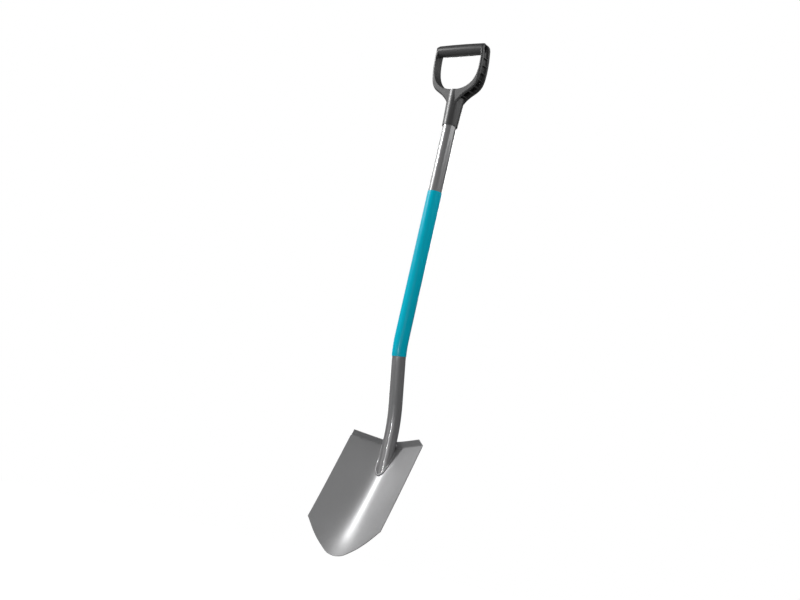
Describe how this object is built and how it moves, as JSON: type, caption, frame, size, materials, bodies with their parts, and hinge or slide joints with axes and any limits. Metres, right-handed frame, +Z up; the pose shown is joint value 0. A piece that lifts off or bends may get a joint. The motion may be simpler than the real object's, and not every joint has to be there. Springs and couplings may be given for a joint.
{
  "type": "garden spade",
  "caption": "Pointed garden spade: dished blade with folded treads, cranked tubular shaft with a plastic sleeve, and a D-shaped grip.",
  "frame": {"origin": "middle of the D-handle's grip bar, on the bar's axis, where a hook or a hand carries the spade", "axes": "+Z up along the straight upper shaft, X along the grip bar, -Y towards the dished front of the blade"},
  "size_m": [0.19, 0.1229, 1.17],
  "materials": {
    "blade_enamel": "satin silver-grey metallic enamel on sheet steel",
    "tube_enamel": "gloss grey metallic enamel on steel tube",
    "weld_enamel": "grey enamel over a weld bead",
    "sleeve_plastic": "semi-gloss turquoise plastic",
    "handle_plastic": "satin dark grey moulded plastic",
    "screw_steel": "zinc-plated steel"
  },
  "bodies": {
    "root": {"blade": "blade_enamel", "shaft_tube": "tube_enamel", "foot_weld": "weld_enamel", "grip_sleeve": "sleeve_plastic", "d_handle": "handle_plastic", "handle_screw": "screw_steel"}
  },
  "joints": []
}
